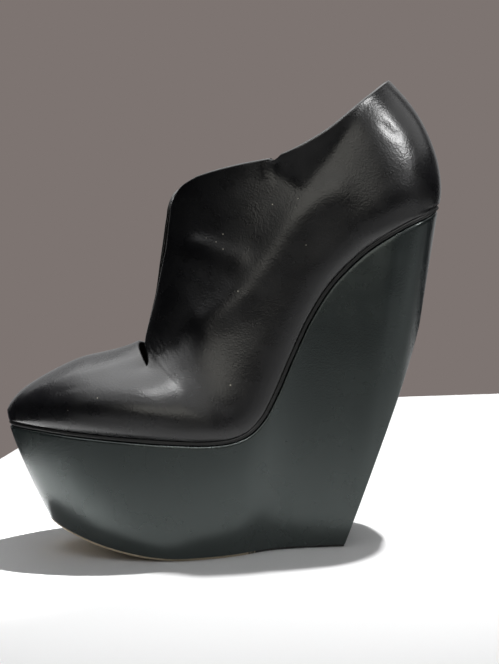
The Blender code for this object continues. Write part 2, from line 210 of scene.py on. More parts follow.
@dataclass(frozen=True)
class Last:
    """The form that the shoe is built on."""

    length: float = 220.0
    ball_width: float = 82.0
    platform_height: float = 58.0
    heel_height: float = 166.1
    back_height: float = 228.0
    rand_thickness: float = 2.2
    gap: float = 0.3
    back_round: float = 3.0
    topline_blend: float = 1.3
    topline_soft: float = 0.09
    topline_reach: Span = (-0.2, 1.2)
    topline_samples: int = 561
    slit_corner: float = 8.5
    slit_corner_first: float = 17.5
    slit_first: float = 0.02
    setback_stations: Span = (4.0, 7.0)
    toe_spring: float = 16.5
    toe_spring_curve: float = 1.8
    roll_line_x: float = -22.0
    slope_reach: float = 0.05
    heel_blend_first: float = 16.0
    sole_soft: float = 0.06
    sole_soft_samples: int = 9

    def foot(self, column: str, station: Array) -> Array:
        """A column of the foot's table. The seat line slows down at both its ends."""
        slows = column in ("seat_along", "seat_rise")
        return spline([getattr(row, column) for row in FOOT], np.minimum(station, HEEL), slows, slows)

    def foot_and_ankle(self, column: str, station: Array) -> Array:
        """A column that runs on from the foot's rows into the ankle's."""
        values = [getattr(row, column) for row in FOOT + ANKLE]
        return spline(values, station, column.startswith("front"))

    def back_of_heel(self, station: Array) -> Array:
        """The line up the back of the heel.

        Args:
            station: Places from the seat's end up to the collar.

        Returns:
            An x and z for each place.
        """
        x, z = self.seat_place(np.array([float(HEEL)]))[0]
        rise = (z + self.seat_offset - self.platform_height) / (self.back_height - self.platform_height)
        above = np.maximum(station - HEEL, 0.0)
        along = spline([x / self.length + 0.5] + [row.back_along for row in ANKLE], above, True)
        climb = spline([rise] + [row.back_rise for row in ANKLE], above, True)
        return np.stack([self.ahead(along), self.upper_height(climb)], -1)

    @property
    def seat_offset(self) -> float:
        """How far the upper's edge lies from the seat line."""
        return self.rand_thickness / 2 + self.gap

    def ahead(self, share: Array) -> Array:
        """X of a share of the shoe's length."""
        return (share - 0.5) * self.length

    def upper_height(self, share: Array) -> Array:
        """Z of a share of the height between platform and collar back."""
        return self.platform_height + share * (self.back_height - self.platform_height)

    def half_width(self, share: Array) -> Array:
        """A width from its share of half the ball width."""
        return share * self.ball_width / 2

    def seat_place(self, station: Array) -> Array:
        """The seat line.

        Args:
            station: Places along the foot.

        Returns:
            An x and z for each place.
        """
        pitch = self.heel_height - self.platform_height
        height = self.platform_height + pitch * self.foot("seat_rise", station)
        return np.stack([self.ahead(self.foot("seat_along", station)), height], -1)

    def seat_slope(self, station: Array) -> tuple[Array, Array, Array]:
        """How the seat runs at some stations.

        Args:
            station: Places along the foot.

        Returns:
            The unit direction towards the heel in x and z, and the shares of a step along the
            outline that go forwards and sideways.
        """
        before = np.maximum(station - self.slope_reach, 0)
        after = np.minimum(station + self.slope_reach, HEEL)
        run = self.seat_place(after) - self.seat_place(before)
        advance = np.linalg.norm(run, axis=-1)
        widening = self.half_width(self.foot("seat_half", after) - self.foot("seat_half", before))
        slant = np.hypot(advance, widening)
        return unit(run), advance / slant, widening / slant

    def seat_edge(self, station: Array, inset: float | Array, rise: float) -> Array:
        """The seat's outline, moved inwards and up.

        Args:
            station: Places along the foot.
            inset: How far inwards.
            rise: How far up from the seat line.

        Returns:
            X, half width, the middle's y and z for each place.
        """
        station = np.asarray(station, float)
        tangent, forwards, sideways = self.seat_slope(station)
        forwards = np.where((station <= 0) | (station >= HEEL), 0.0, forwards)
        sideways = np.where(station <= 0, 1.0, np.where(station >= HEEL, -1.0, sideways))
        normal = np.stack([-tangent[..., 1], tangent[..., 0]], -1)
        inset = np.broadcast_to(inset, station.shape)
        shift = (inset * sideways)[..., None]
        place = self.seat_place(station) + shift * tangent + rise * normal
        half = np.maximum(self.half_width(self.foot("seat_half", station)) - inset * forwards, 0.0)
        middle = -self.half_width(self.foot("swing", station))
        return np.stack([place[..., 0], half, middle, place[..., 1]], -1)

    def sole_bottom(self, x: Array) -> Array:
        """Height of the sole's underside: flat on the floor, then the toe spring.

        Args:
            x: Places along the shoe.

        Returns:
            A height for each place.
        """
        toe_x = self.ahead(SOLE_ALONG[0])
        lift = np.maximum(0.0, (self.roll_line_x - x) / (self.roll_line_x - toe_x))
        return self.toe_spring * lift ** self.toe_spring_curve

    def sole_edge(self, station: Array, inset: float, rise: float) -> Array:
        """The sole's outline, moved inwards and up.

        Args:
            station: Places along the foot.
            inset: How far inwards.
            rise: How far up from the sole's underside.

        Returns:
            X, half width, the middle's y and z for each place.
        """
        station = np.asarray(station, float)
        along = self.foot("seat_along", station)
        x = self.ahead(np.interp(along, SOLE_SEAT_ALONG, SOLE_ALONG))
        shifts = np.linspace(-self.sole_soft, self.sole_soft, self.sole_soft_samples)
        share = np.mean([np.interp(along + shift, SOLE_WIDTH_ALONG, SOLE_WIDTH_SHARE)
                         for shift in shifts], 0)
        full = self.half_width(self.foot("seat_half", station)) * share
        ends = smooth_step(station, 0.0, 1.0) - smooth_step(station, HEEL - 1.0, float(HEEL))
        x = x + inset * (1 - ends) * np.where(station < HEEL / 2, 1.0, -1.0)
        half = np.maximum(full - inset * ends, full / 2)
        middle = -self.half_width(self.foot("swing", station)) * share
        return np.stack([x, half, middle, self.sole_bottom(x) + rise], -1)

    def topline_drop(self, share: Array) -> Array:
        """How far the collar's edge lies below the straight line, with its corners softened.

        Args:
            share: Places from the collar's back, 0, to its front, 1.

        Returns:
            A drop for each place.
        """
        fine = np.linspace(*self.topline_reach, self.topline_samples)
        drop = np.interp(fine, TOPLINE_SHARE, TOPLINE_DROP)
        window = np.hanning(int(self.topline_soft / (fine[1] - fine[0])) * 2 + 1)
        drop = np.convolve(drop, window / window.sum(), "same")
        return np.interp(share, fine, drop) - drop[np.argmin(np.abs(fine))] * (1 - np.minimum(share, 1))

    def slit_half(self, station: Array, side: Side) -> Array:
        """Half width of the front slit, wider where its upper corners are rounded.

        Args:
            station: Places along the foot.
            side: The shoe's side.

        Returns:
            A half width for each place.
        """
        half = self.half_width(self.foot("slit_in" if side is Side.INNER else "slit_out", station))
        corner = (station - self.slit_corner_first) / (COLLAR - self.slit_corner_first)
        corner = np.clip(corner, 0.0, 1.0)
        return half + self.slit_corner * (1 - np.sqrt(1 - corner ** 2))

    def slit_angle(self, station: Array, side: Side, setback: float) -> Array:
        """The angle at which sections meet the slit's edge.

        Args:
            station: Places along the foot.
            side: The shoe's side.
            setback: How far the skin stops short of the edge, where its rim is added.

        Returns:
            An angle for each place.
        """
        station = np.maximum(np.asarray(station, float), self.slit_first)
        girth = self.half_width(self.foot_and_ankle("girth", station))
        half = self.slit_half(station, side) + setback * smooth_step(station, *self.setback_stations)
        share = np.minimum(1.0, half / girth) ** (1 / self.foot_and_ankle("peak", station))
        return QUARTER_TURN + np.arccos(share)

    def skin_point(self, station: Array, side: Side, angle: Array) -> Array:
        """Points of the upper's outside.

        Args:
            station: Places along the foot.
            side: The shoe's side.
            angle: 0 at the seat or the back of the heel, half a turn at the front line.

        Returns:
            An x, y and z for each place.
        """
        station, angle = np.broadcast_arrays(np.asarray(station, float), angle)
        tangent = self.seat_slope(np.minimum(station, HEEL))[0]
        upright = smooth_step(station, self.heel_blend_first, float(HEEL))[..., None]
        normal = np.stack([-tangent[..., 1], tangent[..., 0]], -1)
        normal = unit(normal * (1 - upright) + np.array([0.0, 1.0]) * upright)
        on_foot = (station <= HEEL)[..., None]
        seat = self.seat_place(np.minimum(station, HEEL)) + self.seat_offset * normal
        start = np.where(on_foot, seat, self.back_of_heel(station))
        end = np.stack([self.ahead(self.foot_and_ankle("front_along", station)),
                        self.upper_height(self.foot_and_ankle("front_rise", station))], -1)
        half = np.where(station <= HEEL, self.half_width(self.foot("seat_half", station)), 0.0)
        girth = self.half_width(self.foot_and_ankle("girth", station))
        widest = self.foot_and_ankle("widest", station)
        lean = np.maximum(np.cos(angle), 0.0)
        closing = 1 - (half / np.maximum(girth, TINY)) ** 2
        low_width = girth * np.sqrt(np.maximum(0.0, 1 - closing * lean ** self.back_round))
        turn = np.maximum(angle - QUARTER_TURN, 0.0)
        high_width = girth * np.maximum(np.cos(turn), 0.0) ** self.foot_and_ankle("peak", station)
        is_low = angle <= QUARTER_TURN
        share = np.where(is_low, widest * (1 - lean), widest + (1 - widest) * np.sin(turn))
        width = np.where(is_low, low_width, high_width)
        place = start + share[..., None] * (end - start)
        reach = np.clip((station - HEEL) / (COLLAR - HEEL), 0.0, 1.0)
        z = place[..., 1] - self.topline_drop(share) * reach ** self.topline_blend
        swing, ridge = self.foot("swing", station), self.foot("ridge", station)
        middle = self.half_width((1 - share) * swing + share * ridge)
        return np.stack([place[..., 0], side.value * width - middle, z], -1)


@dataclass(frozen=True)
class Speck:
    """A small pale fleck on the surface: where it lies and its radius."""

    x: float
    y: float
    z: float
    radius: float = 0.38


@dataclass(frozen=True)
class Nodes:
    """The nodes of one material."""

    tree: bpy.types.NodeTree

    def feed(self, node: bpy.types.Node, inputs: dict[str | int, object]) -> None:
        """Sets a node's inputs to constants, or links them to other nodes' outputs.

        Args:
            node: The node.
            inputs: For each input's name or number, a constant or another node's output.
        """
        for name, value in inputs.items():
            if isinstance(value, Socket):
                self.tree.links.new(value, node.inputs[name])
            else:
                node.inputs[name].default_value = value

    def add(self, kind: str, inputs: dict[str | int, object]) -> bpy.types.Node:
        """Adds a node with its inputs set or linked.

        Args:
            kind: The node's kind, without the first word that all shader nodes share.
            inputs: For each input's name or number, a constant or another node's output.

        Returns:
            The node.
        """
        node = self.tree.nodes.new("ShaderNode" + kind)
        self.feed(node, inputs)
        return node

    def noise(self, place: Socket, size: float, detail: float) -> Socket:
        """Noise at a place, with clouds of a size in millimetres and some finer layers."""
        return self.add("TexNoise", {"Scale": 1 / (size * MM), "Detail": detail, "Vector": place}).outputs[0]

    def ranged(self, value: Socket, source: Span, goal: Span) -> Socket:
        """A value carried from one range to another."""
        names = ("From Min", "From Max", "To Min", "To Max")
        return self.add("MapRange", {"Value": value, **dict(zip(names, source + goal))}).outputs["Result"]


@dataclass(frozen=True)
class Finish:
    """A material of the shoe: two tones that mingle, its gloss and its relief."""

    name: str
    colour: Colour
    tone: Colour
    rough: Span
    grain: Grain = Grain.CALF
    cell: float = 0.9
    grain_depth: float = 0.05
    crumple: float = 22.0
    crumple_depth: float = 0.25
    crumple_detail: float = 6.0
    patch: float = 30.0
    patch_detail: float = 4.0
    patch_band: Span = (0.3, 0.72)
    gloss_share: float = 2.5
    gloss_detail: float = 5.0
    gloss_band: Span = (0.3, 0.7)
    pore_smoothness: float = 0.6
    fibre_stretch: Place = (0.3, 1.0, 1.0)
    fibre_detail: float = 5.0
    crumb_detail: float = 2.0
    coat: float = 0.0
    coat_roughness: float = 0.2
    specular: float = 0.5
    sheen_colour: Colour = (1.0, 1.0, 1.0)
    specks: tuple[Speck, ...] = ()
    speck_colour: Colour = (0.62, 0.58, 0.48)
    speck_core: float = 0.5

    def material(self) -> bpy.types.Material:
        """Makes the material from nodes.

        Returns:
            The material.
        """
        made = bpy.data.materials.new(self.name)
        made.use_nodes = True
        nodes = Nodes(made.node_tree)
        place = nodes.add("TexCoord", {}).outputs["Object"]
        gloss = nodes.noise(place, self.patch / self.gloss_share, self.gloss_detail)
        crumple = nodes.noise(place, self.crumple, self.crumple_detail)
        relief = nodes.add("Bump", {"Distance": self.crumple_depth * MM, "Height": crumple})
        relief = nodes.add("Bump", {"Distance": self.grain_depth * MM, "Normal": relief.outputs["Normal"],
                                    "Height": self.grain_height(nodes, place)})
        nodes.feed(nodes.tree.nodes["Principled BSDF"], {
            "Metallic": 0.0, "Specular IOR Level": self.specular,
            "Specular Tint": (*self.sheen_colour, 1.0), "Coat Weight": self.coat,
            "Coat Roughness": self.coat_roughness, "Base Color": self.tones(nodes, place),
            "Roughness": nodes.ranged(gloss, self.gloss_band, self.rough),
            "Normal": relief.outputs["Normal"]})
        return made

    def grain_height(self, nodes: Nodes, place: Socket) -> Socket:
        """The height of the grain: pores, fibres or crumbs.

        Args:
            nodes: The material's nodes.
            place: Where the grain is read.

        Returns:
            The height's output.
        """
        if self.grain is Grain.RUBBER:
            return nodes.noise(place, self.cell, self.crumb_detail)
        if self.grain is Grain.FLESH:
            stretch = nodes.add("VectorMath", {0: place, 1: self.fibre_stretch})
            stretch.operation = "MULTIPLY"
            return nodes.noise(stretch.outputs["Vector"], self.cell, self.fibre_detail)
        pores = nodes.add("TexVoronoi", {"Vector": place, "Scale": 1 / (self.cell * MM)})
        pores.feature = "SMOOTH_F1"
        nodes.feed(pores, {"Smoothness": self.pore_smoothness})
        return pores.outputs["Distance"]

    def tones(self, nodes: Nodes, place: Socket) -> Socket:
        """Two tones that mingle, with small pale flecks on them.

        Args:
            nodes: The material's nodes.
            place: Where the colour is read.

        Returns:
            The colour's output.
        """
        patches = nodes.noise(place, self.patch, self.patch_detail)
        ramp = nodes.add("ValToRGB", {"Fac": patches})
        for stop, at, tone in zip(ramp.color_ramp.elements, self.patch_band, (self.colour, self.tone)):
            stop.position = at
            stop.color = (*tone, 1.0)
        colour = ramp.outputs["Color"]
        for speck in self.specks:
            away = nodes.add("VectorMath", {0: place, 1: (speck.x * MM, speck.y * MM, speck.z * MM)})
            away.operation = "DISTANCE"
            radius = speck.radius * MM
            cover = nodes.ranged(away.outputs["Value"], (radius * self.speck_core, radius), (1.0, 0.0))
            blend = nodes.add("Mix", {0: cover})
            blend.data_type = "RGBA"
            nodes.feed(blend, {6: colour, 7: (*self.speck_colour, 1.0)})
            colour = blend.outputs[2]
        return colour


@dataclass
class Skin:
    """Points in millimetres and the faces between them."""

    points: Array
    faces: list[tuple[int, ...]] = field(default_factory=list)
    finish_of_face: list[int] = field(default_factory=list)
    relax_steps: Span = (0.50, -0.52)
    fair_axis: Place = (0.3, 0.9, 0.3)
    fair_batch: int = 100
    sharp_angle: float = math.radians(50)

    def add_grid(self, index: Array, flip: bool = False) -> None:
        """Adds the faces of a grid.

        Args:
            index: The points' numbers, in rows and columns.
            flip: Whether the faces look the other way.
        """
        corners = np.stack([index[:-1, :-1], index[1:, :-1], index[1:, 1:], index[:-1, 1:]], -1)
        for ring in corners.reshape(-1, 4)[:, ::-1 if flip else 1].tolist():
            kept = [n for k, n in enumerate(ring) if n != ring[k - 1]]
            if len(kept) > 2 and len(set(kept)) == len(kept):
                self.faces.append(tuple(kept))
                self.finish_of_face.append(0)

    def triangles(self) -> tuple[Array, Array]:
        """The faces split into triangles.

        Returns:
            Their points' numbers, and for each a vector across it that is twice its area long.
        """
        fans = [(face[0], face[k], face[k + 1]) for face in self.faces for k in range(1, len(face) - 1)]
        corners = np.array(fans)
        a, b, c = (self.points[corners[:, k]] for k in range(3))
        return corners, np.cross(b - a, c - a)

    def normals(self) -> Array:
        """The outward direction at each point.

        Returns:
            A unit vector for each point.
        """
        corners, area = self.triangles()
        total = np.zeros_like(self.points)
        for k in range(3):
            np.add.at(total, corners[:, k], area)
        return unit(total)

    def areas(self) -> Array:
        """The share of the surface that belongs to each point.

        Returns:
            A size for each point.
        """
        corners, area = self.triangles()
        size = np.linalg.norm(area, axis=1)
        return sum(np.bincount(corners[:, k], size, len(self.points)) for k in range(3))

    def relax(self, rounds: int, share: Array) -> None:
        """Evens the surface out without drawing it in.

        Args:
            rounds: How many times each point moves to its neighbours' mean and back out.
            share: How far each point takes part, 0 where it stays.
        """
        pairs = {tuple(sorted((face[k - 1], face[k]))) for face in self.faces for k in range(len(face))}
        one, two = np.array(sorted(pairs)).T
        ends, others = np.r_[one, two], np.r_[two, one]
        count = np.maximum(np.bincount(ends, minlength=len(self.points)), 1)[:, None]
        for step in self.relax_steps * rounds:
            mean = np.stack([np.bincount(ends, self.points[others, k], len(self.points))
                             for k in range(3)], -1) / count
            self.points = self.points + step * share[:, None] * (mean - self.points)

    def fair(self, share: Array, reach: float, limit: float) -> None:
        """Moves points onto smooth patches fitted to the surface round them.

        Args:
            share: How far each point takes part, 0 where it stays.
            reach: How wide the patches are.
            limit: How far a point may move.
        """
        normals, area = self.normals(), self.areas()
        chosen = np.flatnonzero(share > 0)
        chosen = chosen[np.lexsort((self.points[chosen, 0], self.points[chosen, 1] > 0))]
        move = np.zeros(len(chosen))
        for first in range(0, len(chosen), self.fair_batch):
            those = chosen[first:first + self.fair_batch]
            low, high = self.points[those].min(0) - 2 * reach, self.points[those].max(0) + 2 * reach
            pool = np.flatnonzero(((self.points > low) & (self.points < high)).all(1))
            normal = normals[those]
            across = unit(np.cross(normal, np.array(self.fair_axis)))
            along = np.cross(normal, across)
            gap = self.points[pool][None] - self.points[those][:, None]
            a, b, height = (np.einsum("nmk,nk->nm", gap, axis) for axis in (across, along, normal))
            weight = np.exp(-(gap ** 2).sum(-1) / reach ** 2) * area[pool]
            weight *= np.maximum(normal @ normals[pool].T, 0.0)
            basis = np.stack([np.ones_like(a), a, b, a * a, a * b, b * b], 1)
            weighted = basis * weight[:, None]
            matrix = weighted @ basis.transpose(0, 2, 1)
            goal = np.einsum("nim,nm->ni", weighted, height)
            move[first:first + self.fair_batch] = np.linalg.solve(matrix, goal[..., None])[:, 0, 0]
        move = np.clip(move, -limit, limit) * share[chosen]
        self.points[chosen] += normals[chosen] * move[:, None]

    def piece(self, name: str, node: str, *finishes: Finish) -> Piece:
        """Makes a shaded piece in place of its solid, on the shoe's body.

        Args:
            name: The piece's name.
            node: The solid that it stands for.
            finishes: Its finishes, in the order of the faces' numbers.

        Returns:
            The piece.
        """
        mesh = bpy.data.meshes.new(name)
        mesh.from_pydata((self.points * MM).tolist(), [], self.faces)
        for finish in finishes:
            mesh.materials.append(finish.material())
        mesh.polygons.foreach_set("material_index", self.finish_of_face)
        mesh.shade_smooth()
        mesh.set_sharp_from_angle(angle=self.sharp_angle)
        mesh.validate()
        piece = bpy.data.objects.new(name, mesh)
        bpy.context.scene.collection.objects.link(piece)
        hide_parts(node)
        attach(piece, BODY)
        return piece


def weld(points: Array, digits: int = 5) -> tuple[Array, Array]:
    """Finds points that share a place.

    Args:
        points: The points.
        digits: How many decimals tell places apart.

    Returns:
        The places, and for each point the number of its place.
    """
    _, first, place_of = np.unique(np.round(points, digits) + 0.0, axis=0, return_index=True,
                                   return_inverse=True)
    return points[first], place_of.reshape(-1)


@dataclass(frozen=True)
class Crease:
    """A soft trough or ridge across the leather.

    The path is given by x and z on one side of the shoe. Height and width go from the first to
    the second value along it, and a height below zero is a trough. A sharp one comes to an edge.
    Ahead of its start a crease reaches a share of its width.
    """

    side: Side
    path: tuple[Span, ...]
    height: Span
    width: Span
    sharp: bool = False
    start_reach: float = 1.0
    steps: int = 8
    edge: float = 0.5

    def relief(self, points: Array, outside: Array) -> Array:
        """How far the crease lifts each point.

        Args:
            points: The upper's points.
            outside: Which of them lie on the crease's side.

        Returns:
            A height for each point.
        """
        knots = np.array(self.path, float)
        along = np.linspace(0, len(knots) - 1, (len(knots) - 1) * self.steps + 1)
        path = np.stack([spline(knots[:, 0], along), spline(knots[:, 1], along)], -1)
        candidates = points[outside]
        gap = ((candidates[None, :, [0, 2]] - path[:, None]) ** 2).sum(-1)
        line = candidates[gap.argmin(1)]
        line[:, [0, 2]] = path
        share = np.linspace(0, 1, len(line))
        away = np.full(len(points), np.inf)
        best = np.zeros(len(points))
        for k in range(len(line) - 1):
            step = line[k + 1] - line[k]
            run = ((points - line[k]) @ step) / max(step @ step, TINY)
            t = np.clip(run, 0, 1)
            distance = np.linalg.norm(points - line[k] - t[:, None] * step, axis=1)
            if k == 0:
                distance = np.where(run < 0, distance / self.start_reach, distance)
            nearer = distance < away
            away[nearer] = distance[nearer]
            best[nearer] = share[k] + (share[k + 1] - share[k]) * t[nearer]
        width = self.width[0] + (self.width[1] - self.width[0]) * best
        height = self.height[0] + (self.height[1] - self.height[0]) * best
        if self.sharp:
            return height * np.exp((self.edge - np.hypot(away, self.edge)) / width)
        return height * np.exp(-(away / width) ** 2)


@dataclass(frozen=True)
class Flare:
    """The collar leaning out above two straight lines that meet at their lowest point.

    The points are x and z on one side of the shoe.
    """

    side: Side
    front: Span
    low: Span
    high: Span
    slope: float
    soft: float

    @staticmethod
    def above(points: Array, start: Array, end: Array) -> Array:
        """How far points lie above the line from a start to an end behind it."""
        run = unit(end - start)
        return (points[:, [0, 2]] - start) @ np.array([-run[1], run[0]])

    def relief(self, points: Array) -> Array:
        """How far the lean lifts each point.

        Args:
            points: The upper's points.

        Returns:
            A height for each point.
        """
        front, low, high = np.array(self.front), np.array(self.low), np.array(self.high)
        ahead = self.above(points, front, low) / self.soft
        behind = self.above(points, low, high) / self.soft
        return self.slope * self.soft * np.logaddexp(0.0, -np.logaddexp(-ahead, -behind))


@dataclass
class Upper:
    """The leather upper: its skin with creases, its lining and its rolled edges."""

    last: Last
    leather: Finish
    lining: Finish
    creases: tuple[Crease, ...]
    flares: tuple[Flare, ...]
    wall: float = 1.8
    lip: float = 6.9
    row_marks: tuple[float, ...] = (0.0, 1.0, 6.9, 8.0, 13.0, 17.0, 21.0, 22.0)
    row_counts: tuple[int, ...] = (12, 48, 12, 44, 30, 30, 14)
    side_marks: tuple[float, ...] = (0.0, 0.06, 0.9, 1.0)
    side_counts: tuple[int, ...] = (8, 58, 16)
    angle_samples: int = 240
    vamp_columns: int = 14
    rim_steps: int = 6
    relax_rounds: int = 4
    fair_stations: tuple[Span, Span] = ((14.6, 16.0), (17.6, 18.8))
    fair_reach: float = 7.0
    fair_limit: float = 1.5
    fair_rounds: int = 2
    seat_calm: Span = (0.4, 3.0)
    rim_calm_rounds: int = 3
    notch_x: float = 26.4
    notch_depth: float = 1.5
    notch_width: float = 1.5
    notch_power: float = 10.0
    collar_setback_power: float = 7.0
    wave_height: float = 0.10
    wave_lengths: tuple[float, ...] = (46.0, 31.0, 22.0, 17.0)
    wave_seed: int = 7
    crease_facing: float = 0.15
    crease_fade: Span = (-0.2, 0.1)
    flare_fade: Span = (0.2, 0.6)

    @staticmethod
    def spaced(marks: Sequence[float], counts: Sequence[int]) -> Array:
        """Places between marks, with a number of steps between each two."""
        runs = [np.linspace(a, b, n, endpoint=False) for a, b, n in zip(marks, marks[1:], counts)]
        return np.concatenate(runs + [[marks[-1]]])

    def side_angles(self, station: float, side: Side) -> tuple[Array, Array]:
        """The angles of a row's points, evenly spread along the leather.

        Args:
            station: The row's place.
            side: The shoe's side.

        Returns:
            The angles up to the slit's edge, and those from there to the front line.
        """
        sides = Side if station == 0 else (side,)
        edge = float(np.mean([self.last.slit_angle(np.array(station), s, self.wall / 2) for s in sides]))
        fine = np.linspace(0.0, edge, self.angle_samples)
        run = run_along(self.last.skin_point(np.full(fine.shape, station), side, fine))
        low = np.interp(self.spaced(self.side_marks, self.side_counts) * run[-1], run, fine)
        low[-1] = edge
        return low, np.linspace(edge, math.pi, self.vamp_columns + 1)

    def outside(self) -> tuple[Skin, Array, Array, Array]:
        """The upper's outside as one open surface.

        Returns:
            The surface, the loop round its opening, the loop round its seat, and for each point
            its station.
        """
        stations = self.spaced(self.row_marks, self.row_counts)
        vamp_rows = int(np.argmin(np.abs(stations - self.lip))) + 1
        grids, vamps = {}, {}
        for side in Side:
            rows = [self.side_angles(station, side) for station in stations]
            grids[side] = self.last.skin_point(stations[:, None], side, np.array([low for low, _ in rows]))
            vamps[side] = self.last.skin_point(stations[:vamp_rows, None], side,
                                               np.array([high for _, high in rows[:vamp_rows]]))
        vamp = np.concatenate([vamps[Side.INNER], vamps[Side.OUTER][:, -2::-1]], 1)
        parts = [grids[Side.INNER], grids[Side.OUTER], vamp]
        places, place_of = weld(np.concatenate([part.reshape(-1, 3) for part in parts]))
        sizes = np.cumsum([0] + [part.shape[0] * part.shape[1] for part in parts])
        inner, outer, front = (place_of[a:b].reshape(part.shape[:2])
                               for part, a, b in zip(parts, sizes, sizes[1:]))
        skin = Skin(places)
        skin.add_grid(inner)
        skin.add_grid(outer, flip=True)
        skin.add_grid(front)
        heel_row = int(np.argmin(np.abs(stations - HEEL)))
        edge = slice(vamp_rows - 1, None)
        opening = np.concatenate([front[-1], outer[edge, -1], outer[-1, ::-1], inner[-1],
                                  inner[edge, -1][::-1]])
        seat = np.concatenate([inner[:heel_row + 1, 0], outer[:heel_row + 1, 0][::-1]])
        station_of = np.zeros(len(places))
        for grid in (inner, outer):
            station_of[grid] = stations[:, None]
        return skin, self.unrepeated(opening), self.unrepeated(seat), station_of

    @staticmethod
    def unrepeated(loop: Array) -> Array:
        """A closed loop of point numbers with no point twice in a row."""
        return loop[loop != np.roll(loop, 1)]

    def set_back(self, skin: Skin, station: Array) -> None:
        """Draws the collar's edge down by the height of its rim, and cuts the notch into it.

        Args:
            skin: The upper's outside.
            station: The station of each point.
        """
        points = skin.points
        reach = np.clip((station - HEEL) / (COLLAR - HEEL), 0, 1)
        points[:, 2] -= self.wall / 2 * reach ** self.collar_setback_power
        inner = points[:, 1] < 0
        notch = np.exp(-((points[:, 0] - self.notch_x) / self.notch_width) ** 2) * inner
        points[:, 2] -= self.notch_depth * notch * reach ** self.notch_power

    def smooth(self, skin: Skin, opening: Array, seat: Array, station: Array) -> None:
        """Evens the leather out, most of all where the foot's sections meet the ankle's.

        Args:
            skin: The upper's outside.
            opening: Numbers of the points round its opening, which stay.
            seat: Numbers of the points round its seat, which stay with those close to them.
            station: The station of each point.
        """
        tree = KDTree(len(seat))
        for number, point in enumerate(skin.points[seat]):
            tree.insert(point, number)
        tree.balance()
        from_seat = np.array([tree.find(point)[2] for point in skin.points])
        free = smooth_step(from_seat, *self.seat_calm)
        free[opening] = 0.0
        skin.relax(self.relax_rounds, free)
        low, high = self.fair_stations
        joint = smooth_step(station, *low) * (1 - smooth_step(station, *high))
        for _ in range(self.fair_rounds):
            skin.fair(free * joint, self.fair_reach, self.fair_limit)
            skin.relax(self.relax_rounds, free)

    def waves(self, points: Array) -> Array:
        """The leather's gentle unevenness.

        Args:
            points: The upper's points.

        Returns:
            A height for each point.
        """
        draw = np.random.default_rng(self.wave_seed)
        total = np.zeros(len(points))
        for length in self.wave_lengths:
            direction = unit(draw.normal(size=3))
            total += np.sin(points @ direction * (2 * math.pi / length) + draw.uniform(0, 2 * math.pi))
        return self.wave_height * total / len(self.wave_lengths) ** 0.5

    def add_relief(self, skin: Skin) -> None:
        """Lifts the creases, the lean of the collar and the unevenness out of the leather.

        Args:
            skin: The upper's outside.
        """
        points, normals = skin.points, skin.normals()
        relief = self.waves(points)
        for crease in self.creases:
            facing = normals[:, 1] * crease.side.value
            lift = crease.relief(points, facing > self.crease_facing)
            relief += lift * smooth_step(facing, *self.crease_fade)
        for flare in self.flares:
            facing = normals[:, 1] * flare.side.value
            relief += flare.relief(points) * smooth_step(facing, *self.flare_fade)
        skin.points = points + normals * relief[:, None]

    def add_rim(self, skin: Skin, loop: Array, normals: Array, inside: int) -> None:
        """Rolls the leather round an edge, from the outside to the lining.

        Args:
            skin: The outside and the lining, which gets the rim.
            loop: The edge's points on the outside.
            normals: The outward direction at each point of the outside.
            inside: The number of the lining's first point.
        """
        outer = skin.points[loop]
        normal = normals[loop]
        for _ in range(self.rim_calm_rounds):
            normal = unit(2 * normal + np.roll(normal, 1, 0) + np.roll(normal, -1, 0))
        along = unit(np.roll(outer, -1, 0) - np.roll(outer, 1, 0))
        along = unit(along + np.roll(along, 1, 0) / 2 + np.roll(along, -1, 0) / 2)
        away = unit(np.cross(along, normal))
        middle = (outer + skin.points[loop + inside]) / 2
        rings = [loop]
        for step in range(1, self.rim_steps):
            turn = math.pi * step / self.rim_steps
            ring = middle + self.wall / 2 * (math.cos(turn) * normal + math.sin(turn) * away)
            rings.append(np.arange(len(loop)) + len(skin.points))
            skin.points = np.concatenate([skin.points, ring])
        grid = np.array(rings + [loop + inside])
        skin.add_grid(np.concatenate([grid, grid[:, :1]], 1))

    def build(self) -> Piece:
        """Makes the upper in place of its solid.

        Returns:
            The piece.
        """
        skin, opening, seat, station = self.outside()
        self.set_back(skin, station)
        self.smooth(skin, opening, seat, station)
        self.add_relief(skin)
        normals = skin.normals()
        count = len(skin.points)
        skin.points = np.concatenate([skin.points, skin.points - self.wall * normals])
        lining = [tuple(n + count for n in reversed(face)) for face in skin.faces]
        skin.faces += lining
        skin.finish_of_face += [1] * len(lining)
        for loop in (opening, seat):
            self.add_rim(skin, loop, normals, count)
        return skin.piece("upper_leather", "upper", self.leather, self.lining)


@dataclass(frozen=True)
class Cut:
    """A flat cut across the shoe: a point of it and its outward direction, in x and z."""

    x: float
    z: float
    out_x: float
    out_z: float

    def beyond(self, outline: Array) -> Array:
        """How far an outline's points lie outside the cut."""
        away = (outline[..., 0] - self.x) * self.out_x + (outline[..., 3] - self.z) * self.out_z
        return away / math.hypot(self.out_x, self.out_z)


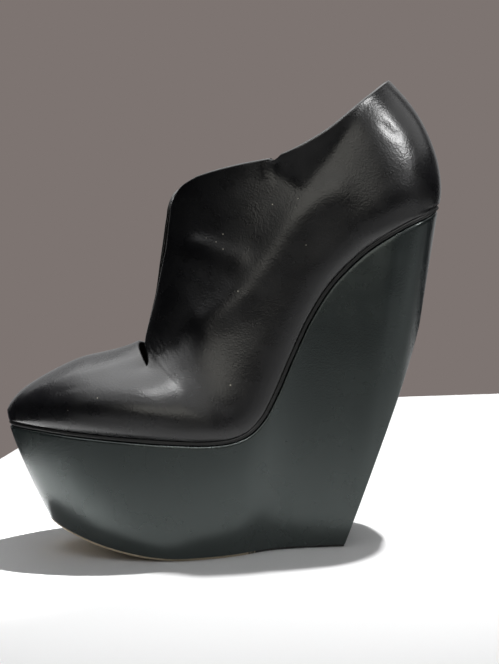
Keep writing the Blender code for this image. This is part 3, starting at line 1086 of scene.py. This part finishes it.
@dataclass
class Stack:
    """A closed body through outlines from top to bottom, cut flat across where asked."""

    levels: Sequence[Edge]
    columns: int
    round: float = 0.6
    front_cut: Optional[Cut] = None
    back_cut: Optional[Cut] = None
    across: int = 10
    round_steps: int = 3
    round_share: float = 0.4
    draw_back: float = 0.02
    search_steps: int = 44
    cut_least: float = 1e-7

    def crossing(self, level: Edge, cut: Optional[Cut], end: float) -> tuple[float, bool]:
        """The station where an outline meets a cut.

        Args:
            level: The outline.
            cut: The cut, if there is one.
            end: The outline's own end, at the toe or the heel.

        Returns:
            The station, and whether the cut meets the outline at all.
        """
        if cut is None or cut.beyond(level(np.array([end])))[0] <= self.cut_least:
            return end, False
        kept, gone = HEEL / 2, end
        for _ in range(self.search_steps):
            middle = (kept + gone) / 2
            if cut.beyond(level(np.array([middle])))[0] > 0:
                gone = middle
            else:
                kept = middle
        return kept, True

    @staticmethod
    def side_points(outline: Array, side: Side) -> Array:
        """An outline's points on one side."""
        return np.stack([outline[:, 0], side.value * outline[:, 1] + outline[:, 2], outline[:, 3]], -1)

    def end_face(self, end: Array, is_cut: bool) -> tuple[Array, float]:
        """The points straight across an outline's end.

        Args:
            end: The outline at that end.
            is_cut: Whether the end is cut flat.

        Returns:
            The points from inner to outer side, and the radius of the corners beside them.
        """
        inner, outer = (self.side_points(end[None], side)[0] for side in Side)
        width = abs(outer[1] - inner[1])
        radius = min(self.round, self.round_share * width) if is_cut else 0.0
        share = radius / max(width, TINY)
        return inner + (outer - inner) * np.linspace(share, 1 - share, self.across)[:, None], radius

    def corner(self, side: Array, goal: Array, radius: float) -> tuple[Array, Array]:
        """Rounds the corner at a side's first point.

        Args:
            side: The side's points.
            goal: Where the corner ends on the cut face.
            radius: The corner's radius.

        Returns:
            The side drawn back from the corner, and the points from there to the goal.
        """
        drawn = side
        if radius > 0:
            run = run_along(side)
            moved = np.maximum(run, radius + run * self.draw_back)
            drawn = np.stack([np.interp(moved, run, side[:, k]) for k in range(3)], -1)
        share = np.linspace(0, 1, self.round_steps + 2)[1:-1, None]
        arc = (1 - share) ** 2 * drawn[0] + 2 * share * (1 - share) * side[0] + share ** 2 * goal
        return drawn, arc

    def loop(self, level: Edge) -> tuple[Array, Array, Array, Array]:
        """One closed outline.

        Args:
            level: The outline.

        Returns:
            Its points along the inner side, across the back, along the outer side and across
            the front, all from toe to heel or from inner to outer.
        """
        start, front_cut = self.crossing(level, self.front_cut, 0.0)
        end, back_cut = self.crossing(level, self.back_cut, float(HEEL))
        outline = level(np.linspace(start, end, self.columns))
        front, front_radius = self.end_face(outline[0], front_cut)
        back, back_radius = self.end_face(outline[-1], back_cut)
        runs = []
        for side, at in ((Side.INNER, 0), (Side.OUTER, -1)):
            drawn, first = self.corner(self.side_points(outline, side), front[at], front_radius)
            drawn, second = self.corner(drawn[::-1], back[at], back_radius)
            runs.append(np.concatenate([first[::-1], drawn[::-1], second]))
        return runs[0], back, runs[1], front

    def skin(self) -> Skin:
        """Joins the outlines to one closed surface.

        Returns:
            The surface.
        """
        loops = []
        for level in self.levels:
            inner, back, outer, front = self.loop(level)
            loops.append(np.concatenate([inner, back, outer[::-1], front[::-1]]))
        places, place_of = weld(np.concatenate(loops))
        grid = place_of.reshape(len(loops), -1)
        skin = Skin(places)
        skin.add_grid(np.concatenate([grid, grid[:, :1]], 1))
        sides, far = len(inner), len(inner) + len(back)
        for row, flip in ((grid[0], False), (grid[-1], True)):
            skin.add_grid(np.stack([row[:sides], row[far:far + sides][::-1]]), flip)
        return skin


@dataclass
class Rand:
    """The thin bead of leather between upper and wedge."""

    last: Last
    leather: Finish
    inset: float = 0.6
    bulge: float = 1.0
    toe_reach: float = 0.9
    toe_reach_end: float = 3.0
    round_steps: int = 8
    columns: int = 260

    def edge(self, station: Array, inset: float, rise: float) -> Array:
        """An outline of the bead, which reaches a little further out at the toe."""
        forward = self.toe_reach * (1 - smooth_step(station, 0.0, self.toe_reach_end))
        return self.last.seat_edge(station, inset - forward, rise)

    def build(self) -> Piece:
        """Makes the rand in place of its solid.

        Returns:
            The piece.
        """
        half = self.last.rand_thickness / 2
        levels = [partial(self.edge, inset=self.inset + self.bulge * (1 - math.cos(turn)),
                          rise=-half * math.sin(turn))
                  for turn in np.linspace(-QUARTER_TURN, QUARTER_TURN, self.round_steps + 1)]
        return Stack(levels, self.columns).skin().piece("rand_bead", "rand", self.leather)


@dataclass
class Insole:
    """The sock that lies on the rand inside the upper.

    Its softened edge is given by steps inwards and down from the top, as shares of its softness.
    """

    last: Last
    leather: Finish
    inset: float = 3.9
    thickness: float = 2.5
    soft: float = 0.8
    soft_edge: tuple[Span, ...] = ((2.5, 0.0), (1.0, 0.125), (0.3, 0.4), (0.0, 1.0))
    columns: int = 120

    def build(self) -> Piece:
        """Makes the insole in place of its solid.

        Returns:
            The piece.
        """
        bottom = self.last.seat_offset
        top = bottom + self.thickness
        shape = [(self.soft * more, top - self.soft * down) for more, down in self.soft_edge]
        levels = [partial(self.last.seat_edge, inset=self.inset + more, rise=rise)
                  for more, rise in shape + [(0.0, bottom)]]
        return Stack(levels, self.columns).skin().piece("insole_sock", "insole", self.leather)


@dataclass
class Wedge:
    """The covered block: platform, waist and heel in one, with the flat cut at its back."""

    last: Last
    cover: Finish
    back_cut: Cut
    inset: float = 0.4
    heel_inset: float = 1.8
    edge_round: float = 0.9
    round_steps: int = 3
    sole_thickness: float = 1.6
    wall_turn: float = 3.0
    toe_bulge: float = 0.15
    toe_bulge_end: float = 6.0
    toe_reach: float = 0.9
    toe_reach_end: float = 3.0
    bottom_round: float = 0.5
    lip_rise: float = 1.3
    lip_width: float = 0.95
    levels_above_kink: int = 26
    levels_below_kink: int = 44
    kink_samples: int = 4001
    columns: int = 190

    def top(self, station: Array, inset: float, rise: float) -> Array:
        """The wedge's top outline, which steps in further towards the heel."""
        forward = self.toe_reach * (1 - smooth_step(station, 0.0, self.toe_reach_end))
        return self.last.seat_edge(station, inset + self.heel_inset * station / HEEL - forward, rise)

    def wall(self, station: Array, level: float) -> Array:
        """An outline of the wall, which turns in towards the sole.

        Args:
            station: Places along the foot.
            level: 0 at the top edge and 1 at the sole.

        Returns:
            X, half width, the middle's y and z for each place.
        """
        high = self.top(station, self.inset, -self.last.seat_offset - self.edge_round)
        low = self.last.sole_edge(station, 0.0, self.lip_rise + self.bottom_round)
        bulge = self.toe_bulge * (1 - smooth_step(station, 0.0, self.toe_bulge_end))
        inwards = np.full(station.shape, level ** self.wall_turn)
        share = np.stack([level ** (1 + bulge), inwards, inwards, np.full(station.shape, level)], -1)
        return high + (low - high) * share

    def kink_level(self) -> float:
        """Finds where the cut meets the wall's back.

        Returns:
            The level.
        """
        fine = np.linspace(0, 1, self.kink_samples)
        heel = np.array([float(HEEL)])
        outside = [self.back_cut.beyond(self.wall(heel, level))[0] > 0 for level in fine]
        return float(fine[int(np.argmax(outside))])

    def build(self) -> Piece:
        """Makes the wedge in place of its solid.

        Returns:
            The piece.
        """
        seat = -self.last.seat_offset
        turns = np.linspace(0, QUARTER_TURN, self.round_steps + 1)
        levels: list[Edge] = [
            partial(self.top, inset=self.inset + self.edge_round * (1 - math.sin(turn)),
                    rise=seat - self.edge_round * (1 - math.cos(turn))) for turn in turns[:-1]]
        kink = self.kink_level()
        above = np.linspace(0, kink, self.levels_above_kink, endpoint=False)
        below = kink + (1 - kink) * np.linspace(0, 1, self.levels_below_kink) ** 2
        levels += [partial(self.wall, level=level) for level in np.r_[above, below]]
        levels += [partial(self.last.sole_edge, inset=self.bottom_round * (1 - math.cos(turn)),
                           rise=self.lip_rise + self.bottom_round * (1 - math.sin(turn)))
                   for turn in turns[1:]]
        levels += [partial(self.last.sole_edge, inset=self.lip_width, rise=rise)
                   for rise in (self.lip_rise, self.sole_thickness + self.last.gap)]
        skin = Stack(levels, self.columns, back_cut=self.back_cut).skin()
        return skin.piece("wedge_cover", "wedge", self.cover)


@dataclass
class Sole:
    """The leather sole under the forefoot and the black top piece under the heel."""

    last: Last
    leather: Finish
    rubber: Finish
    back_cut: Cut
    inset: float = 1.2
    thickness: float = 1.6
    breast_x: float = 12.5
    soft: float = 0.3
    sole_columns: int = 120
    lift_columns: int = 60

    def levels(self) -> list[Edge]:
        """The sole's outlines, with softened edges.

        Returns:
            The outlines from top to bottom.
        """
        shape = ((self.soft, self.thickness), (0.0, self.thickness - self.soft), (0.0, self.soft),
                 (self.soft, 0.0))
        return [partial(self.last.sole_edge, inset=self.inset + more, rise=rise) for more, rise in shape]

    def build(self) -> list[Piece]:
        """Makes the sole and the top piece in place of their solids.

        Returns:
            The two pieces.
        """
        breast = Cut(self.breast_x, 0, 1, 0)
        behind = Cut(self.breast_x + self.last.gap, 0, -1, 0)
        front = Stack(self.levels(), self.sole_columns, self.soft, back_cut=breast)
        lift = Stack(self.levels(), self.lift_columns, self.soft, behind, self.back_cut)
        return [front.skin().piece("outsole_leather", "outsole", self.leather),
                lift.skin().piece("heel_top_piece", "heel_lift", self.rubber)]


@dataclass(frozen=True)
class Lamp:
    """A lamp out of the camera's sight: where it stands and points, in metres."""

    name: str
    stands: Place
    aims: Place

    def hang(self, data: bpy.types.Light, lights: Light) -> None:
        """Puts the lamp in the scene.

        Args:
            data: The lamp's light.
            lights: What it lights.
        """
        lamp = bpy.data.objects.new(self.name, data)
        lamp.location = self.stands
        lamp.rotation_euler = (Vector(self.aims) - Vector(self.stands)).to_track_quat("-Z", "Y").to_euler()
        lamp.visible_camera = False
        lamp.visible_glossy = lights is Light.SHEEN
        lamp.visible_diffuse = lights is Light.BODY
        bpy.context.scene.collection.objects.link(lamp)


@dataclass(frozen=True)
class Panel(Lamp):
    """A soft rectangular lamp."""

    width: float
    height: float
    radiance: float
    lights: Light = Light.SHEEN
    colour: Colour = (1.0, 1.0, 1.0)

    def light(self) -> None:
        """Makes the panel and hangs it."""
        data = bpy.data.lights.new(self.name, "AREA")
        data.shape = "RECTANGLE"
        data.size, data.size_y = self.width, self.height
        data.energy = self.radiance * math.pi * self.width * self.height
        data.color = self.colour
        self.hang(data, self.lights)


@dataclass(frozen=True)
class Spot(Lamp):
    """A small lamp that throws a round pool of light, in watts and degrees."""

    power: float
    cone: float
    radius: float = 0.02
    blend: float = 1.0

    def light(self) -> None:
        """Makes the spot and hangs it."""
        data = bpy.data.lights.new(self.name, "SPOT")
        data.energy = self.power
        data.shadow_soft_size = self.radius
        data.spot_size = math.radians(self.cone)
        data.spot_blend = self.blend
        self.hang(data, Light.BODY)


@dataclass
class Studio:
    """The pale floor, the soft light and the camera, in metres."""

    lamps: tuple[Panel | Spot, ...]
    backdrop: Colour = (0.205, 0.175, 0.165)
    air: Colour = (0.020, 0.020, 0.023)
    floor_tone: float = 0.82
    floor_roughness: float = 0.7
    floor_corners: tuple[Span, ...] = ((-0.31, -0.70), (1.50, -0.70), (1.50, 0.37), (-0.135, 0.374))
    camera_stands: Place = (0.013, -0.500, 0.165)
    camera_pitch: float = math.atan(0.1175)
    camera_roll: float = math.radians(1.9)
    camera_clip: Span = (0.01, 50.0)
    focal_pixels: float = 1000.0
    sensor: float = 36.0

    def light(self) -> None:
        """Sets the air's tone, the plain backdrop, the lamps and how tones are shown."""
        world = bpy.data.worlds.new("air")
        world.use_nodes = True
        nodes = Nodes(world.node_tree)
        air = nodes.tree.nodes["Background"]
        nodes.feed(air, {"Color": (*self.air, 1.0)})
        backdrop = nodes.add("Background", {"Color": (*self.backdrop, 1.0)})
        seen = nodes.add("LightPath", {}).outputs["Is Camera Ray"]
        blend = nodes.add("MixShader", {0: seen, 1: air.outputs[0], 2: backdrop.outputs[0]})
        nodes.feed(nodes.tree.nodes["World Output"], {"Surface": blend.outputs[0]})
        bpy.context.scene.world = world
        bpy.context.scene.view_settings.view_transform = "Standard"
        for lamp in self.lamps:
            lamp.light()

    def floor(self) -> None:
        """Makes the plain pale floor."""
        points = [(x, y, 0.0) for x, y in self.floor_corners]
        mesh = bpy.data.meshes.new("floor")
        mesh.from_pydata(points, [], [tuple(range(len(points)))])
        finish = bpy.data.materials.new("pale_floor")
        finish.use_nodes = True
        shader = finish.node_tree.nodes["Principled BSDF"]
        shader.inputs["Base Color"].default_value = (self.floor_tone,) * 3 + (1.0,)
        shader.inputs["Roughness"].default_value = self.floor_roughness
        mesh.materials.append(finish)
        floor = bpy.data.objects.new("floor", mesh)
        bpy.context.scene.collection.objects.link(floor)

    def camera(self) -> None:
        """Sets the camera at the photograph's angle."""
        data = bpy.data.cameras.new("camera")
        data.sensor_fit = "AUTO"
        data.sensor_width = self.sensor
        data.lens = self.focal_pixels * self.sensor / IMAGE_HEIGHT
        data.clip_start, data.clip_end = self.camera_clip
        ahead = Vector((0, math.cos(self.camera_pitch), -math.sin(self.camera_pitch)))
        level = Vector((0, math.sin(self.camera_pitch), math.cos(self.camera_pitch)))
        right = Vector((1, 0, 0))
        across = math.cos(self.camera_roll) * right - math.sin(self.camera_roll) * level
        up = math.sin(self.camera_roll) * right + math.cos(self.camera_roll) * level
        turned = Matrix((across, up, -ahead)).transposed().to_4x4()
        camera = bpy.data.objects.new("camera", data)
        camera.matrix_world = Matrix.Translation(self.camera_stands) @ turned
        bpy.context.scene.collection.objects.link(camera)
        bpy.context.scene.camera = camera


# Small pale flecks on the inner side of the upper, in millimetres
PALE_FLECKS = (
    Speck(-6.1, -22.4, 154.5, 0.30), Speck(2.0, -24.4, 156.2), Speck(-1.4, -24.1, 152.6, 0.30),
    Speck(1.8, -25.6, 149.2, 0.42), Speck(37.7, -30.0, 171.6), Speck(36.7, -30.2, 167.5),
    Speck(25.7, -28.4, 169.3, 0.42), Speck(40.8, -30.3, 149.9, 0.30), Speck(8.2, -29.7, 129.2, 0.42),
    Speck(3.2, -33.7, 85.3, 0.48), Speck(-59.4, -37.1, 81.8, 0.30), Speck(-74.1, -34.2, 75.8, 0.25),
)

CALF = Finish("black_calf", (0.0022, 0.0022, 0.0029), (0.0038, 0.0037, 0.0042), (0.24, 0.32), coat=0.1,
              coat_roughness=0.22, specks=PALE_FLECKS)
LINING = Finish("lining_leather", (0.010, 0.009, 0.008), (0.018, 0.016, 0.014), (0.55, 0.7), cell=0.6,
                grain_depth=0.04, specular=0.35)
BEAD = Finish("rand_leather", (0.003, 0.003, 0.003), (0.005, 0.005, 0.005), (0.40, 0.50), cell=0.7,
              crumple_depth=0.05, specular=0.3)
SOCK = Finish("sock_leather", (0.030, 0.026, 0.023), (0.048, 0.040, 0.035), (0.5, 0.65), cell=0.8)
COVER = Finish("satin_cover", (0.0108, 0.0148, 0.0142), (0.0126, 0.0170, 0.0163), (0.22, 0.30), cell=0.8,
               grain_depth=0.03, crumple=26.0, crumple_depth=0.06, patch=40.0, specular=0.72,
               sheen_colour=(0.90, 1.0, 0.975))
SOLE_LEATHER = Finish("pale_sole_leather", (0.42, 0.34, 0.23), (0.54, 0.45, 0.32), (0.5, 0.7),
                      grain=Grain.FLESH, cell=1.4, crumple_depth=0.05, patch=12.0)
RUBBER = Finish("matt_rubber", (0.006, 0.006, 0.006), (0.011, 0.011, 0.011), (0.55, 0.7),
                grain=Grain.RUBBER, cell=0.5, grain_depth=0.06, crumple_depth=0.03)

CREASES = (
    # The bend at the front of the ankle, sharp at the slit's lower corner
    Crease(Side.INNER, ((-38.0, 96.1), (-32.8, 100.3), (-27.8, 103.6), (-22.8, 107.0), (-17.3, 110.3),
                        (-10.4, 113.6)), (-2.7, -0.4), (8.0, 8.0), True, 0.5),
    Crease(Side.OUTER, ((-36.0, 97.5), (-29.0, 102.0), (-21.0, 106.5), (-12.0, 111.0)), (-1.6, -0.3),
           (8.0, 8.0), True, 0.3),
    # The ridge that runs from the bend up to the ankle
    Crease(Side.INNER, ((-8.0, 115.4), (1.8, 121.4), (10.5, 128.3), (16.9, 135.2), (23.8, 143.4),
                        (30.6, 152.6), (36.5, 161.6), (44.0, 168.5), (54.0, 174.0)), (1.1, 1.0),
           (7.5, 9.0)),
    Crease(Side.OUTER, ((-6.0, 113.0), (6.0, 123.0), (17.0, 137.0), (26.0, 152.0)), (0.5, 0.7), (5.0, 6.5)),
    # The fold across the ankle
    Crease(Side.INNER, ((-14.0, 152.0), (-3.0, 149.0), (8.0, 144.5)), (1.1, 0.6), (5.0, 6.0)),
    Crease(Side.OUTER, ((-8.0, 146.0), (1.0, 150.5), (11.0, 153.0)), (0.4, 0.4), (4.0, 4.5)),
    # The short fold under the notch in the topline
    Crease(Side.INNER, ((26.1, 187.5), (26.2, 184.0), (27.6, 181.0)), (-0.6, -0.1), (1.5, 1.8)),
    Crease(Side.INNER, ((23.6, 187.0), (23.4, 183.0)), (0.45, 0.2), (1.6, 1.6)),
    # The crease at the heel's upper corner
    Crease(Side.INNER, ((78.8, 204.3), (81.5, 201.4), (84.9, 199.1)), (-0.5, -0.35), (1.6, 1.6)),
    # The pinches and the crest of the vamp
    Crease(Side.INNER, ((-79.8, 83.5), (-73.8, 85.3), (-66.9, 86.7)), (-0.16, -0.1), (1.6, 1.6)),
    Crease(Side.INNER, ((-94.8, 80.8), (-80.0, 88.0), (-60.5, 94.0), (-45.7, 97.8)), (0.4, 0.6), (4.0, 5.0)),
)
FLARES = (
    Flare(Side.INNER, (24.0, 188.0), (41.0, 174.5), (60.3, 201.0), 0.25, 0.8),
    Flare(Side.OUTER, (18.0, 188.0), (38.0, 174.0), (58.0, 201.0), 0.06, 1.5),
)

# The flat cut at the back of the wedge goes through a low and a high point in x and z
BACK_LOW, BACK_HIGH = (56.2, 0.0), (97.4, 106.5)
BACK_CUT = Cut(*BACK_LOW, BACK_HIGH[1] - BACK_LOW[1], BACK_LOW[0] - BACK_HIGH[0])

LAMPS = (
    Spot("key_spot", (0.33, 0.10, 1.30), (0.04, 0.18, 0.0), 96.0, 42.0),
    Spot("toe_spot", (0.33, 0.10, 1.30), (-0.138, 0.0, 0.0), 190.0, 9.0),
    Panel("fill", (0.1, 0.2, 2.2), (0.0, 0.0, 0.0), 2.4, 2.4, 0.70, Light.BODY),
    Panel("front_fill", (0.0, -0.85, 1.0), (0.0, -0.85, 0.0), 1.8, 0.5, 0.45, Light.BODY),
    Panel("right_fill", (0.85, -0.45, 0.45), (0.85, -0.45, 0.0), 0.7, 0.5, 1.7, Light.BODY),
    Panel("ceiling", (-0.25, 0.17, 1.80), (-0.25, 0.17, 0.0), 2.9, 3.65, 2.0),
    Panel("ceiling_middle", (0.0, 0.0, 1.78), (0.0, 0.0, 0.0), 2.0, 2.0, 1.7),
    Panel("vamp_lamp", (0.08, -0.78, 1.15), (-0.03, 0.0, 0.1), 0.26, 0.26, 19.0),
    Panel("front_panel", (0.02, -2.2, 0.64), (0.02, 0.0, 0.2), 1.40, 0.70, 1.95, colour=(1.0, 0.98, 0.90)),
    Panel("front_high", (-0.45, -2.0, 1.50), (-0.1, 0.0, 0.15), 2.9, 0.55, 1.5),
    Panel("heel_lamp", (1.33, -1.00, 0.96), (0.08, 0.0, 0.2), 0.34, 0.40, 38.0),
    Panel("heel_lamp_low", (1.05, -1.40, 0.74), (0.08, 0.0, 0.2), 0.30, 0.30, 3.5),
    Panel("right_panel", (2.0, 0.3, 1.3), (0.1, 0.0, 0.2), 1.6, 1.0, 1.1),
    Panel("back_wall", (0.0, 2.2, 1.0), (0.0, 0.0, 0.6), 4.0, 2.4, 0.50),
)


def main() -> None:
    """Builds the shoe's pieces in order, then the studio."""
    logging.basicConfig(level=logging.INFO, format="%(message)s")
    last = Last()
    pieces = [Upper(last, CALF, LINING, CREASES, FLARES).build(), Rand(last, BEAD).build(),
              Insole(last, SOCK).build(), Wedge(last, COVER, BACK_CUT).build()]
    pieces += Sole(last, SOLE_LEATHER, RUBBER, BACK_CUT).build()
    for piece in pieces:
        triangles = sum(len(face.vertices) - 2 for face in piece.data.polygons)
        LOG.info("%s: %d triangles", piece.name, triangles)
    studio = Studio(LAMPS)
    studio.floor()
    studio.light()
    studio.camera()


if __name__ == "__main__":
    main()
